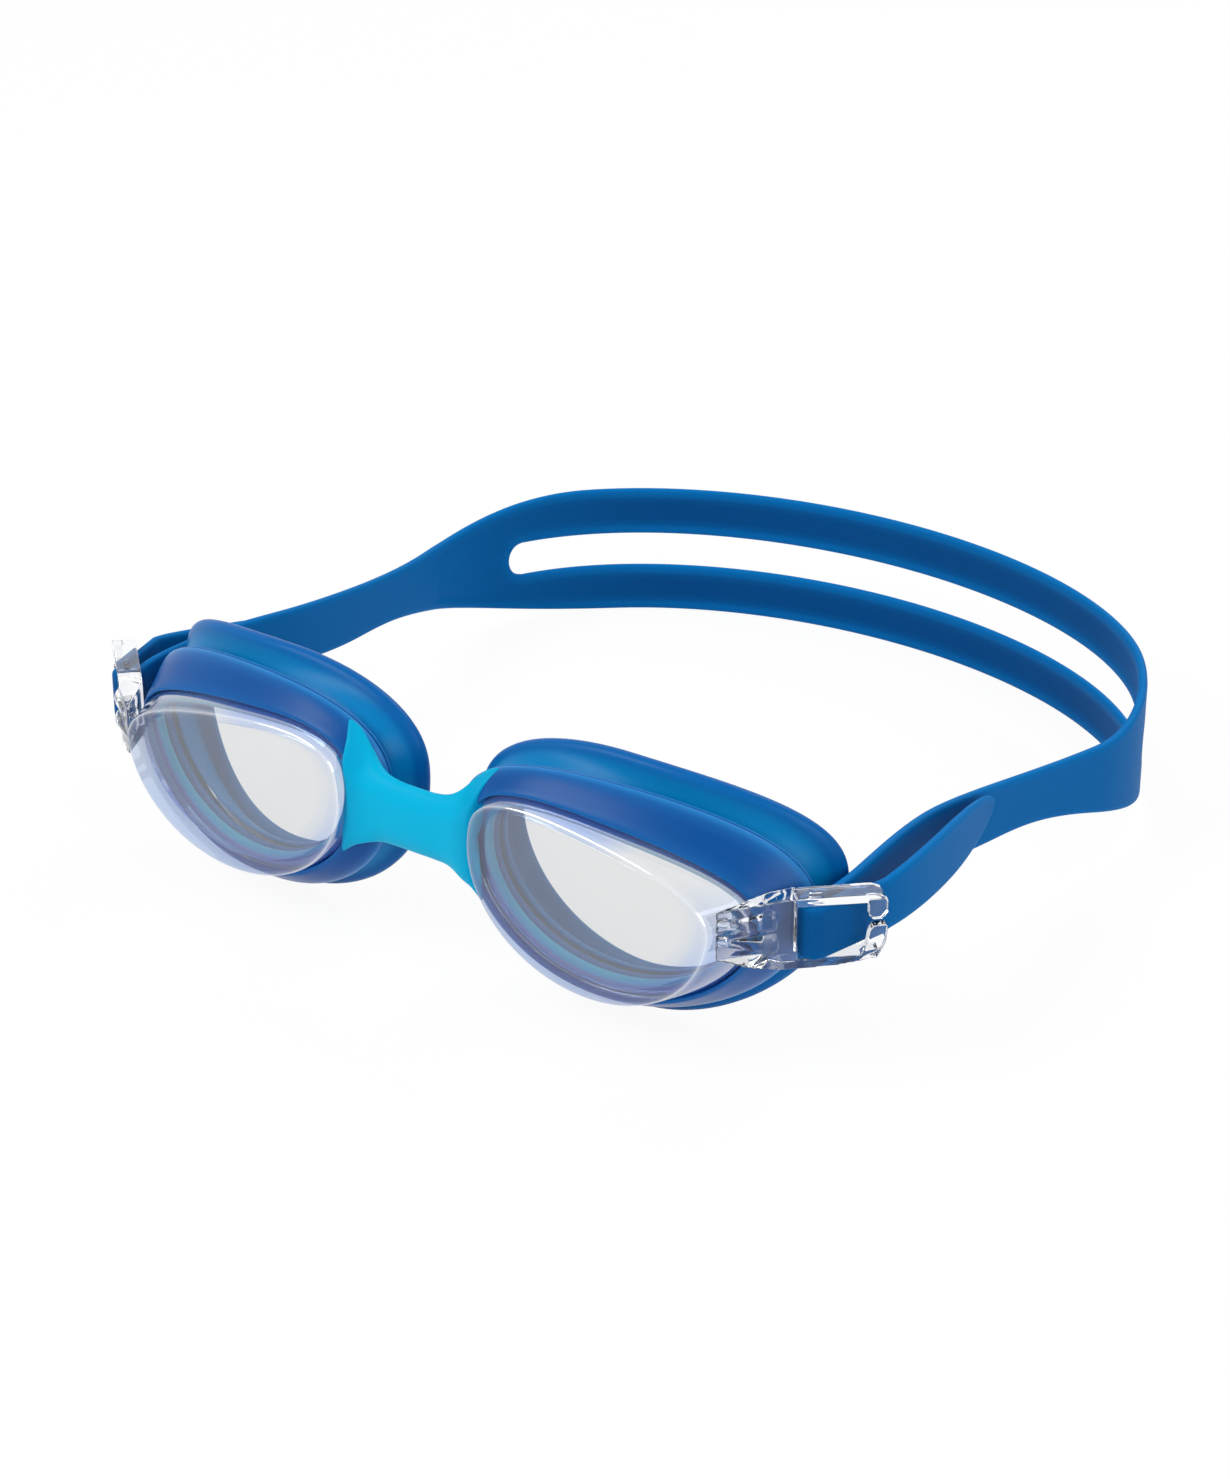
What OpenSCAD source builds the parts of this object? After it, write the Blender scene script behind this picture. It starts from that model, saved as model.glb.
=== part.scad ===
// Swim goggles with clear lenses, a soft nose bridge and a split head strap.
// They stand as they lie on a table: both face seals and the back of the strap touch z = 0.
// +X is the wearer's left, the lenses look along -Y, the strap runs back along +Y.

/* [Lenses] */
// Distance from the middle plane to the middle of each lens
eye_x = 35.9; // [33.5:0.1:39]
// Height of the widest line of the lens above the table
eye_z = 27.2; // [26:0.1:30]
// Half width of the front window
lens_half_w = 22.9; // [20:0.1:24]
// Drop from the widest line to the lowest point of the window
lens_drop = 19.7; // [17:0.1:21]
// Rise from the widest line to the brow edge
lens_rise = 8.8; // [7:0.1:10]
// Slope of the brow edge towards the temple, in degrees
brow_slope = 8.6; // [4:0.2:12]
// Wall of the clear moulding
lens_wall = 2; // [1.4:0.1:2.6]
// Depth of the lens wall beside the nose
lens_depth = 3.4; // [3:0.1:5]

/* [Rims and seals] */
// How far the ridge of the rim stands out past the window at the temple and the nose
rim_reach = 6.9; // [5:0.1:7.5]
// Depth of the ridge behind the front of the lens
rim_depth = 6.4; // [6:0.1:8]
// Width of the ring that the lens is held in
ring_w = 2.6; // [1.8:0.1:3]
// Half width of the face seal
seal_half_w = 31; // [29.5:0.1:31.5]
// Depth of the seal's lip behind the front of the lens
seal_depth = 13.8; // [13:0.1:16]
// Thickness of the soft seal
seal_t = 1.6; // [1.2:0.1:2]
// Width of the cushion that lies on the face
seal_land = 7; // [5:0.2:8]

/* [Nose bridge] */
// Height of the bridge at its waist
bridge_h = 10.4; // [7:0.2:12]
// Depth of the bridge at its waist
bridge_t = 4.6; // [3.5:0.1:6]
// Height of the middle of the waist above the table
bridge_z = 25.6; // [24:0.2:28]

/* [Strap clips] */
// Angle between a clip and the X axis, in degrees
clip_angle = 43.3; // [40:0.1:47]
// Thickness of a clip
clip_t = 4; // [3.6:0.1:4.4]
// Height of a clip
clip_h = 12; // [11.6:0.1:13]
// Height of the middle of the clip above the table
clip_z = 25.6; // [24:0.1:27]
// Length of the strap window
window_l = 11; // [10.4:0.1:12]
// Length of the hooks that keep the strap in
hook_l = 3.4; // [2.6:0.1:4]
// Thickness of the hooks
hook_t = 1.6; // [1.2:0.05:1.7]
// Gap between the two hooks
hook_gap = 1.4; // [1:0.1:2]
// Radius of the post that the strap goes round
post_r = 0.9; // [0.8:0.05:1]

/* [Strap] */
// Thickness of the strap
strap_t = 1.6; // [1.4:0.05:1.7]
// Width of the strap at the clips
strap_w = 9; // [8:0.1:9]
// Height of the split strap at the back of the head
back_h = 25.4; // [24:0.1:28]
// Height of the slot between the two bands
slot_h = 6.7; // [5:0.1:8]
// Half width of the loop behind the ears
loop_half_w = 72; // [70:0.5:76]
// Distance from the lens fronts to the back of the strap
loop_l = 154; // [150:0.5:165]
// Length of the loose end of the strap
tail_l = 42; // [36:1:46]

/* [Fits] */
// Gap between pieces that lie together
gap = 0.2; // [0.1:0.05:0.3]
// Gap between the strap and the post and walls of its clip
slip = 0.1; // [0.05:0.05:0.2]

/* [Hidden] */
LEFT = 1;
RIGHT = -1;
STEPS = 56;

// The part's origin is under the middle of its length.
mid_y = (loop_l + strap_t / 2) / 2;

// ---- Outlines of the eyecup ----
// An outline is an oval cut by the sloping brow line, with the corners rounded by "round".
// Its depth grows towards the temple as curl * (x - curl_x)^2.
function outline(cx, cz, a, b, rise, slope, round, y, curl, curl_x) =
    [cx, cz, a, b, rise, slope, round, y, curl, curl_x];
function grown(o, d) = [o[0], o[1], o[2] + d, o[3] + d, o[4] + d, o[5], o[6], o[7], o[8], o[9]];
function moved(o, dy) = [o[0], o[1], o[2], o[3], o[4], o[5], o[6], o[7] + dy, o[8], o[9]];
function mix(p, q, f) = p + (q - p) * f;

function reach(o, t) =
    let (oval = 1 / sqrt(pow(cos(t) / o[2], 2) + pow(sin(t) / o[3], 2)),
         facing = cos(t - 90 + o[5]))
    facing < 0.05 ? oval : pow(pow(oval, -o[6]) + pow(o[4] / facing, -o[6]), -1 / o[6]);
function depth(o, x) = o[7] + o[8] * pow(max(0, x - o[9]), 2);
function ring(o) = [for (i = [0:STEPS - 1])
    let (t = 360 * i / STEPS, x = o[0] + reach(o, t) * cos(t))
    [x, depth(o, x), o[1] + reach(o, t) * sin(t)]];

lens_face = outline(eye_x, eye_z, lens_half_w, lens_drop, lens_rise, brow_slope, 3, 0, 0, 10);
lens_back = outline(eye_x + 1.4, eye_z, lens_half_w + 2.2, lens_drop + 0.6, lens_rise + 0.3,
    brow_slope, 3, lens_depth, 0.0022, 10);
ridge = outline(eye_x + 1, eye_z, lens_half_w + rim_reach, lens_drop + 4.4, lens_rise + 6.3,
    5.2, 2.8, rim_depth, 0.0034, 10);
lip = outline(eye_x + 0.6, eye_z + 0.6, seal_half_w, eye_z + 0.6, lens_rise + 9.4, 1.6, 2.5,
    seal_depth, 0.0102, 34);

// ---- Solids swept round an outline ----
// A closed loop of rings makes a hoop, and an open stack of rings with two lids makes a cup.
module hoop(rings) {
    m = len(rings);
    n = len(rings[0]);
    polyhedron(points = [for (r = rings) each r], faces = [for (j = [0:m - 1], i = [0:n - 1])
        let (k = (j + 1) % m, e = (i + 1) % n)
        each [[j * n + i, j * n + e, k * n + e], [j * n + i, k * n + e, k * n + i]]]);
}
module cup(rings) {
    m = len(rings);
    n = len(rings[0]);
    walls = [for (j = [0:m - 2], i = [0:n - 1])
        let (e = (i + 1) % n)
        each [[j * n + i, j * n + e, (j + 1) * n + e], [j * n + i, (j + 1) * n + e, (j + 1) * n + i]]];
    lids = [[for (i = [n - 1:-1:0]) i], [for (i = [0:n - 1]) (m - 1) * n + i]];
    polyhedron(points = [for (r = rings) each r], faces = concat(walls, lids));
}

module on_side(side) {
    translate([0, -mid_y, 0])
        mirror([side == LEFT ? 0 : 1, 0, 0])
            children();
}

// ---- Eyecup pieces ----
module lens(side) {
    color([0.86, 0.9, 0.93, 0.5])
        on_side(side)
            cup([ring(grown(lens_face, -0.5)),
                ring(moved(lens_face, 0.5)),
                ring(lens_back),
                ring(grown(lens_back, -lens_wall)),
                ring(moved(grown(lens_face, -lens_wall - 0.6), lens_wall))]);
}

// Bright ring of the frame, behind the lens and inside the rim.
ring_t = 1.6;
module frame_ring(side) {
    color([0, 0.72, 0.88])
        on_side(side)
            hoop([ring(moved(lens_back, gap)),
                ring(moved(lens_back, gap + ring_t)),
                ring(moved(grown(lens_back, -ring_w), gap + ring_t)),
                ring(moved(grown(lens_back, -ring_w), gap))]);
}

// The rim wraps the lens wall and the ring from outside and behind.
pocket_y = ring_t + 2 * gap;
rim_back = pocket_y + 1.2;
module rim(side) {
    color([0.04, 0.2, 0.55])
        on_side(side)
            hoop([ring(moved(grown(lens_back, gap), -0.9)),
                ring(moved(grown(mix(lens_back, ridge, 0.55), 0.4), -0.5)),
                ring(ridge),
                ring(moved(grown(ridge, -0.5), 1.3)),
                ring(moved(grown(ridge, -3.4), 1.9)),
                ring(moved(grown(lens_back, -ring_w), rim_back)),
                ring(moved(grown(lens_back, -ring_w), pocket_y)),
                ring(moved(grown(lens_back, gap), pocket_y))]);
}

// The seal starts behind the rim, flares out to its lip and turns in to a flat cushion.
module seal(side) {
    color([0, 0.42, 0.75])
        on_side(side)
            hoop([ring(moved(grown(lens_back, -ring_w), rim_back + 4 * gap)),
                ring(moved(grown(ridge, -3.6), 2 + 3 * gap)),
                ring(moved(grown(ridge, -2.2), 2.2 + gap)),
                ring(grown(lip, -1)),
                ring(moved(lip, 1)),
                ring(moved(grown(lip, -0.8), 2)),
                ring(moved(grown(lip, -seal_land), 2.4)),
                ring(moved(grown(lip, -seal_land), 2.4 - seal_t)),
                ring(moved(grown(lip, -3.2), 0.4)),
                ring(moved(grown(ridge, -3.9), 2.4 + seal_t)),
                ring(moved(grown(lens_back, -ring_w), rim_back + 4 * gap + seal_t))]);
}

// ---- Clip and the strap end round its post ----
// A clip has its own axes: x runs back along the clip, y = 0 is its inner face.
temple_x = lens_back[0] + lens_back[2];
clip_root = [temple_x + 0.4, depth(lens_back, temple_x) - 0.5];
along = [cos(clip_angle), sin(clip_angle)];
inward = [-sin(clip_angle), cos(clip_angle)];
function from_clip(p) = clip_root + p[0] * along + p[1] * inward;
function clip_way(turn) = cos(turn) * along + sin(turn) * inward;
function clip_place(p) = [(p - clip_root) * along, (p - clip_root) * inward];

clip_low = clip_z - clip_h / 2;
window_x = 4.6;
window_h = strap_w + 2 * slip;
window_end = window_x + window_l;
clip_end = window_end + hook_l;
post_x = window_x + 2.9;
post_y = -clip_t / 2 - 0.2;
turn_r = post_r + slip / 2 + strap_t / 2;
head_turn = 27;
tail_turn = 33;
function on_turn(t) = [post_x, post_y] + turn_r * [cos(t), sin(t)];
function head_leg(l) = on_turn(90 + head_turn) + l * [cos(head_turn), sin(head_turn)];
function tail_leg(l) = on_turn(270 + tail_turn) + l * [cos(tail_turn), sin(tail_turn)];
head_leg_l = 1.6;
tail_leg_l = (clip_end + 0.6 - on_turn(270 + tail_turn)[0]) / cos(tail_turn);

module on_clip() {
    translate([clip_root[0], clip_root[1], 0])
        rotate([0, 0, clip_angle])
            children();
}

// The root of a clip lies against the temple side of the lens wall.
wall_front = clip_place([lens_face[0] + lens_face[2] + gap, 0.9]);
wall_back = clip_place([temple_x + gap, depth(lens_back, temple_x)]);

module clip(side) {
    color([0.84, 0.88, 0.92, 0.6])
        on_side(side)
            on_clip()
                union() {
                    difference() {
                        translate([0, 0, clip_low])
                            linear_extrude(clip_h)
                                polygon([wall_front, [wall_front[0] + 0.5, -clip_t], [clip_end, -clip_t],
                                    [clip_end, 0], [wall_back[0], 0]]);
                        translate([window_x, -clip_t - 1, clip_z - window_h / 2])
                            cube([window_l, clip_t + 2, window_h]);
                        translate([window_end - 1, -clip_t + hook_t, clip_z - window_h / 2])
                            cube([hook_l + 2, clip_t, window_h]);
                        translate([window_end - 1, -clip_t - 1, clip_z - hook_gap / 2])
                            cube([hook_l + 2, hook_t + 2, hook_gap]);
                    }
                    translate([post_x, post_y, clip_low])
                        cylinder(r = post_r, h = clip_h, $fn = 32);
                }
}

// The strap comes in from the side of the head, turns round the post in the window and leaves
// again inside the hooks. Both legs are straight.
module strap_loop(side) {
    turn = [for (i = [0:14])
        let (t = mix(90 + head_turn, 270 + tail_turn, i / 14))
        [on_turn(t), [cos(t), sin(t)]]];
    path = concat([[head_leg(head_leg_l), turn[0][1]]], turn, [[tail_leg(tail_leg_l), turn[14][1]]]);
    color([0.02, 0.36, 0.68])
        on_side(side)
            on_clip()
                translate([0, 0, clip_z - strap_w / 2])
                    linear_extrude(strap_w)
                        polygon(concat([for (s = path) s[0] + strap_t / 2 * s[1]],
                            [for (i = [len(path) - 1:-1:0]) path[i][0] - strap_t / 2 * path[i][1]]));
}

// ---- Ribbons ----
// A station is [plan point, plan normal, low z, high z], and a ribbon is a chain of stations.
function unit(v) = v / norm(v);
function across(v) = unit([v[1], -v[0]]);
function bezier(p, t) = pow(1 - t, 3) * p[0] + 3 * t * pow(1 - t, 2) * p[1]
    + 3 * t * t * (1 - t) * p[2] + pow(t, 3) * p[3];
function bezier_way(p, t) = 3 * pow(1 - t, 2) * (p[1] - p[0])
    + 6 * t * (1 - t) * (p[2] - p[1]) + 3 * t * t * (p[3] - p[2]);
function ease(t) = let (u = min(1, max(0, t))) u * u * (3 - 2 * u);

module ribbon(stations) {
    half = strap_t / 2;
    n = len(stations);
    points = [for (s = stations)
        each [[s[0][0] + half * s[1][0], s[0][1] + half * s[1][1], s[2]],
            [s[0][0] + half * s[1][0], s[0][1] + half * s[1][1], s[3]],
            [s[0][0] - half * s[1][0], s[0][1] - half * s[1][1], s[3]],
            [s[0][0] - half * s[1][0], s[0][1] - half * s[1][1], s[2]]]];
    sides = [for (j = [0:n - 2], i = [0:3])
        let (a = j * 4 + i, b = j * 4 + (i + 1) % 4)
        each [[a, b + 4, a + 4], [a, b, b + 4]]];
    polyhedron(points = points, faces = concat([[3, 2, 1, 0]], sides,
        [[n * 4 - 4, n * 4 - 3, n * 4 - 2, n * 4 - 1]]));
}

// Plan of the strap: two curves along the side of the head, then half an oval behind it.
oval_y = 104;
oval_b = loop_l - oval_y;
oval_start = -8;
slot_start = 17;
seam = atan(gap / loop_half_w);
function oval(t) = [loop_half_w * cos(t), oval_y + oval_b * sin(t)];
function oval_way(t) = [-loop_half_w * sin(t), oval_b * cos(t)];
side_start = from_clip(head_leg(head_leg_l + gap));
ear = [loop_half_w - 5.4, 50];
side_front = [side_start, side_start + 7 * clip_way(head_turn), ear + [1.1, -14], ear];
side_rear = [ear, ear + [-0.9, 11.5], oval(oval_start) - 13 * unit(oval_way(oval_start)), oval(oval_start)];

strap_low = clip_z - strap_w / 2;
strap_high = clip_z + strap_w / 2;
function edge_high(y) = strap_high - (strap_high - 21.8) * ease((y - 26) / 78)
    + (back_h - 21.8) * ease((y - 100) / 32);
function edge_low(y) = strap_low - (strap_low - 14.5) * ease((y - 18) / 60)
    - 14.5 * ease((y - 72) / 64);
slot_low = (back_h - slot_h) / 2;
slot_high = slot_low + slot_h;

function station(p, way, low, high) = [p, across(way), low, high];
function side_station(curve, t) = let (p = bezier(curve, t))
    station(p, bezier_way(curve, t), edge_low(p[1]), edge_high(p[1]));

module strap_side(side) {
    color([0.02, 0.36, 0.68])
        on_side(side)
            ribbon([for (i = [0:14]) side_station(side_front, i / 14),
                for (i = [1:10]) side_station(side_rear, i / 10)]);
}

module strap_fork(side) {
    color([0.02, 0.33, 0.65])
        on_side(side)
            ribbon([for (i = [0:6])
                let (t = oval_start + seam + (slot_start - oval_start - seam) * i / 6, y = oval(t)[1])
                station(oval(t), oval_way(t), edge_low(y), edge_high(y))]);
}

module band(upper) {
    color([0.02, 0.36, 0.68])
        translate([0, -mid_y, 0])
            ribbon([for (i = [0:36])
                let (t = slot_start + seam + (180 - 2 * slot_start - 2 * seam) * i / 36)
                let (low = edge_low(oval(t)[1]), high = edge_high(oval(t)[1]))
                station(oval(t), oval_way(t), upper ? slot_high : low, upper ? high : slot_low)]);
}

// The loose end lies along the outside of the strap and ends in a leaf-shaped tip. The left one
// stands off the strap a little more than the right one.
module strap_tail(side) {
    start = from_clip(tail_leg(tail_leg_l + gap));
    tip = start + [-5.1, tail_l - 0.9];
    bow = side == LEFT ? 4.4 : 0.6;
    lift = side == LEFT ? 3.4 : 0.6;
    curve = [start, start + (bow + 2.6) * clip_way(tail_turn), tip + [bow, -20.3], tip];
    color([0.05, 0.38, 0.72])
        on_side(side)
            ribbon([for (i = [0:20])
                let (t = i / 20, taper = 1 - pow(max(0, (t - 0.55) / 0.45), 4.5))
                let (w = strap_w * (1 + 0.1 * sin(180 * t)) * max(0.12, taper))
                let (middle = clip_z + lift * t - 8 * t * t + 3.2 * t * t * t)
                station(bezier(curve, t), bezier_way(curve, t), middle - w / 2, middle + w / 2)]);
}

// ---- Nose bridge ----
// A soft saddle that fills the gap between the rims and laps over their front as two thin tabs.
tab_x = lens_face[0] - lens_face[2] - 0.6;
tab_y = lens_depth - 2.2;
tab_t = 1.1;
function saddle_top(x) = bridge_z + bridge_h / 2 + 6 * pow(abs(x) / tab_x, 3);
function saddle_low(x) = bridge_z - bridge_h / 2 - 5 * pow(abs(x) / tab_x, 4);

module saddle() {
    xs = [for (i = [-10:10]) tab_x * i / 10];
    polygon(concat([for (x = xs) [x, saddle_top(x)]],
        [for (i = [len(xs) - 1:-1:0]) [xs[i], saddle_low(xs[i])]]));
}
module clear_of(o, d) {
    for (side = [LEFT, RIGHT])
        polygon([for (p = ring(grown(o, d))) [side * p[0], p[2]]]);
}

module nose_bridge() {
    color([0, 0.75, 0.9])
        translate([0, -mid_y, 0])
            rotate([90, 0, 0])
                mirror([0, 0, 1]) {
                    translate([0, 0, tab_y])
                        linear_extrude(tab_t)
                            difference() {
                                saddle();
                                clear_of(lens_back, 2 * gap);
                            }
                    translate([0, 0, tab_y])
                        linear_extrude(bridge_t)
                            difference() {
                                saddle();
                                clear_of(ridge, gap);
                            }
                }
}

nose_bridge();
lens(LEFT);  // lens_left
frame_ring(LEFT);  // frame_ring_left
rim(LEFT);  // rim_left
seal(LEFT);  // seal_left
clip(LEFT);  // clip_left
strap_loop(LEFT);  // strap_loop_left
strap_tail(LEFT);  // strap_tail_left
strap_side(LEFT);  // strap_side_left
strap_fork(LEFT);  // strap_fork_left
lens(RIGHT);  // lens_right
frame_ring(RIGHT);  // frame_ring_right
rim(RIGHT);  // rim_right
seal(RIGHT);  // seal_right
clip(RIGHT);  // clip_right
strap_loop(RIGHT);  // strap_loop_right
strap_tail(RIGHT);  // strap_tail_right
strap_side(RIGHT);  // strap_side_right
strap_fork(RIGHT);  // strap_fork_right
band(true);  // band_upper
band(false);  // band_lower
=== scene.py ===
import math

import bmesh
import bpy
import numpy as np
from mathutils import Matrix, Vector


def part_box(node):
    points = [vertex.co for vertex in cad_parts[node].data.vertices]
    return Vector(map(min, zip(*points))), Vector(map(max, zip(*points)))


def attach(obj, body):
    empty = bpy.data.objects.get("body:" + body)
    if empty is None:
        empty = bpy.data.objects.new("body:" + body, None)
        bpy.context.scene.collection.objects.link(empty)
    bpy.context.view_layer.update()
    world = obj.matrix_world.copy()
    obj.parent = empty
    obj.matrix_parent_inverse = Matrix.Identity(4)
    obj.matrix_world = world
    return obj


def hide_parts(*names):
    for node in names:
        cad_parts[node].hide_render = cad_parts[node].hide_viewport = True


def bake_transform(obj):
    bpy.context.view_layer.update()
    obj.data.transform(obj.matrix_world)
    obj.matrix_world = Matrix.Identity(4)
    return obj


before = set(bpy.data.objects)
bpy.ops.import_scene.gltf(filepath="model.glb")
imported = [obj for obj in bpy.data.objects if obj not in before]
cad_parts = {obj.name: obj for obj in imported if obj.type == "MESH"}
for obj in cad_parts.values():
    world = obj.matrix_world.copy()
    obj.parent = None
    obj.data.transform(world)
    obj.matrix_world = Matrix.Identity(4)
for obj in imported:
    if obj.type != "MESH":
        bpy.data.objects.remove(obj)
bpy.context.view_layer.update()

# ---- Camera ----
# A long lens stands in front of the goggles, to the wearer's left and above them, and looks down
# on them from about 0.6 m away.
VIEW_AZIMUTH = math.radians(35.66)
VIEW_HEIGHT = math.radians(26.5)
VIEW_POINT = (0.3175, -0.4617, 0.290)


def aim(azimuth, height):
    """Rotation of a camera that looks back at the goggles from that azimuth and height."""
    level = math.cos(height)
    back = Vector((math.sin(azimuth) * level, -math.cos(azimuth) * level, math.sin(height)))
    right = Vector((math.cos(azimuth), math.sin(azimuth), 0))
    return Matrix((right, back.cross(right), back)).transposed().to_4x4()


camera_data = bpy.data.cameras.new("camera")
camera_data.lens = 86.5
camera_data.sensor_width = 36
camera_data.clip_start = 0.01
camera = bpy.data.objects.new("camera", camera_data)
bpy.context.scene.collection.objects.link(camera)
camera.matrix_world = Matrix.Translation(VIEW_POINT) @ aim(VIEW_AZIMUTH, VIEW_HEIGHT)
bpy.context.scene.camera = camera

# ---- Studio ----
# The goggles rest on a white table top in an even white surround, under three large soft lamps.
# The white is what is seen directly; the light on the goggles is dimmer and slightly blue.
bpy.context.scene.view_settings.view_transform = "Standard"


class Look:
    """One socket of a node tree. Sums written on it add Math nodes to the tree."""

    def __init__(self, tree, socket=None):
        self.tree = tree
        self.socket = socket

    def node(self, kind, settings=None, inputs=None, output=0):
        """Adds a node of a type, sets it up, fills or links its inputs and returns one of its outputs."""
        made = self.tree.nodes.new("ShaderNode" + kind)
        for name, value in (settings or {}).items():
            setattr(made, name, value)
        for name, value in (inputs or {}).items():
            if isinstance(value, Look):
                self.tree.links.new(value.socket, made.inputs[name])
            else:
                made.inputs[name].default_value = value
        return Look(self.tree, made.outputs[output]) if made.outputs else None

    def math(self, operation, first, second):
        return self.node("Math", {"operation": operation}, {0: first, 1: second})

    def __add__(self, other):
        return self.math("ADD", self, other)

    __radd__ = __add__

    def __mul__(self, other):
        return self.math("MULTIPLY", self, other)

    __rmul__ = __mul__

    def mix(self, low, high):
        """Colour low where this value is 0 and high where it is 1."""
        return self.node("Mix", {"data_type": "RGBA"}, {0: self, 6: rgba(low), 7: rgba(high)}, 2)


def rgba(colour):
    """A colour as a socket takes it."""
    return colour if isinstance(colour, Look) else (*colour, 1)


def new_tree(block):
    """Starts an empty node tree on a material or a world."""
    block.use_nodes = True
    block.node_tree.nodes.clear()
    return Look(block.node_tree)


def seen_directly(tree):
    """1 for rays that come from the camera, a mirror or clear plastic, and 0 for the light on things."""
    camera_ray = tree.node("LightPath", output="Is Camera Ray")
    glossy_ray = tree.node("LightPath", output="Is Glossy Ray")
    clear_ray = tree.node("LightPath", output="Is Transmission Ray")
    return tree.math("MINIMUM", camera_ray + glossy_ray + clear_ray, 1.0)


world = bpy.data.worlds.new("surround")
bpy.context.scene.world = world
tree = new_tree(world)
lit = tree.node("Background", inputs={"Color": (0.82, 0.86, 0.9, 1), "Strength": 0.55})
white = tree.node("Background", inputs={"Color": (1, 1, 1, 1), "Strength": 1.0})
both = tree.node("MixShader", inputs={0: seen_directly(tree), 1: lit, 2: white})
tree.node("OutputWorld", inputs={"Surface": both})

TABLE_HALF = 3
TABLE_GAP = 0.0004
table_top = bpy.data.meshes.new("table")
table_corners = [(x * TABLE_HALF, y * TABLE_HALF, 0) for x, y in ((-1, -1), (1, -1), (1, 1), (-1, 1))]
table_top.from_pydata(table_corners, [], [(0, 1, 2, 3)])
table = bpy.data.objects.new("table", table_top)
bpy.context.scene.collection.objects.link(table)
table.location.z = -TABLE_GAP
paper = bpy.data.materials.new("white_paper")
tree = new_tree(paper)
matt = tree.node("BsdfDiffuse", inputs={"Color": (0.9, 0.9, 0.9, 1)})
glow = tree.node("Emission", inputs={"Color": (1, 1, 1, 1), "Strength": 1.0})
paper_mix = tree.node("MixShader", inputs={0: seen_directly(tree) * 0.93, 1: matt, 2: glow})
tree.node("OutputMaterial", inputs={"Surface": paper_mix})
table_top.materials.append(paper)


def soft_lamp(name, place, size, watts):
    """A rectangular lamp that faces the goggles."""
    data = bpy.data.lights.new(name, "AREA")
    data.shape = "RECTANGLE"
    data.size, data.size_y = size
    data.energy = watts
    lamp = bpy.data.objects.new(name, data)
    bpy.context.scene.collection.objects.link(lamp)
    lamp.location = place
    lamp.rotation_euler = (-Vector(place)).to_track_quat("-Z", "Y").to_euler()


soft_lamp("key_lamp", (-0.5, -0.7, 0.9), (0.7, 0.5), 9)
soft_lamp("side_lamp", (0.9, -0.3, 0.5), (0.6, 0.6), 4)
soft_lamp("back_lamp", (0.1, 0.9, 0.9), (0.8, 0.4), 5)

# ---- Lenses ----
# Each lens is a shallow cup of clear polycarbonate: a flat window with a sloping side wall that
# grows deeper towards the temple. The wall's rear edge is pressed into the soft frame.
MM = 0.001
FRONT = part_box("lens_left")[0].y / MM
SIDES = {"left": 1, "right": -1}
AROUND = np.radians(np.arange(0, 360, 2.5))


class Outline:
    """An oval cut by the sloping line of the brow, with softened corners.

    Its depth behind the lens front grows with the square of the distance from curl_x.
    """

    def __init__(self, centre, half_w, drop, rise, slope, soft, depth, curl, curl_x):
        self.centre, self.half_w, self.drop, self.rise = centre, half_w, drop, rise
        self.slope, self.soft, self.depth, self.curl, self.curl_x = slope, soft, depth, curl, curl_x

    def reach(self, t, grow=0.0):
        """Distance from the centre to the grown outline at the angles t."""
        oval = 1 / np.hypot(np.cos(t) / (self.half_w + grow), np.sin(t) / (self.drop + grow))
        facing = np.maximum(np.cos(t - math.pi / 2 + math.radians(self.slope)), 0.05)
        brow = (self.rise + grow) / facing
        return np.where(facing > 0.05, (oval ** -self.soft + brow ** -self.soft) ** (-1 / self.soft), oval)

    def depth_at(self, x):
        return self.depth + self.curl * np.maximum(0, x - self.curl_x) ** 2

    def ring(self, grow=0.0, back=0.0):
        """Points round the outline, grown outwards and moved back."""
        reach = self.reach(AROUND, grow)
        x = self.centre[0] + reach * np.cos(AROUND)
        z = self.centre[1] + reach * np.sin(AROUND)
        return np.column_stack((x, self.depth_at(x) + back, z))


LENS_FACE = Outline((35.9, 27.2), 22.9, 19.7, 8.8, 8.6, 3, 0, 0, 10)
LENS_BACK = Outline((37.3, 27.2), 25.1, 20.3, 9.1, 8.6, 3, 3.4, 0.0022, 10)


def skin(name, rings, marks, closed=True):
    """A mesh through a row of rings, given in millimetres on the wearer's left side.

    Closed joins the last ring to the first; an open row gets a lid at each end.
    Marks holds one number for each ring, kept at its points as the attribute "mark".
    """
    count, size = len(rings), len(rings[0])
    faces = []
    for j in range(count if closed else count - 1):
        k = (j + 1) % count
        for i in range(size):
            e = (i + 1) % size
            faces.append((j * size + i, j * size + e, k * size + e, k * size + i))
    if not closed:
        faces.append(tuple(range(size - 1, -1, -1)))
        faces.append(tuple((count - 1) * size + i for i in range(size)))
    mesh = bpy.data.meshes.new(name)
    mesh.from_pydata(np.concatenate(rings).tolist(), [], faces)
    mesh.attributes.new("mark", "FLOAT", "POINT").data.foreach_set("value", np.repeat(marks, size))
    return mesh


def piece(name, mesh, material, side, smooth):
    """Places a mesh in the frame, mirrored for the right side, and rounds it by subdivision."""
    points = np.empty(len(mesh.vertices) * 3)
    mesh.vertices.foreach_get("co", points)
    points = points.reshape(-1, 3) + (0, FRONT, 0)
    points[:, 0] *= side
    mesh.vertices.foreach_set("co", (points * MM).ravel())
    work = bmesh.new()
    work.from_mesh(mesh)
    bmesh.ops.recalc_face_normals(work, faces=work.faces)
    work.to_mesh(mesh)
    work.free()
    mesh.shade_smooth()
    mesh.materials.append(material)
    made = bpy.data.objects.new(name, mesh)
    bpy.context.scene.collection.objects.link(made)
    if smooth:
        rounding = made.modifiers.new("rounding", "SUBSURF")
        rounding.levels = smooth
        rounding.render_levels = smooth
    return made


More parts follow.
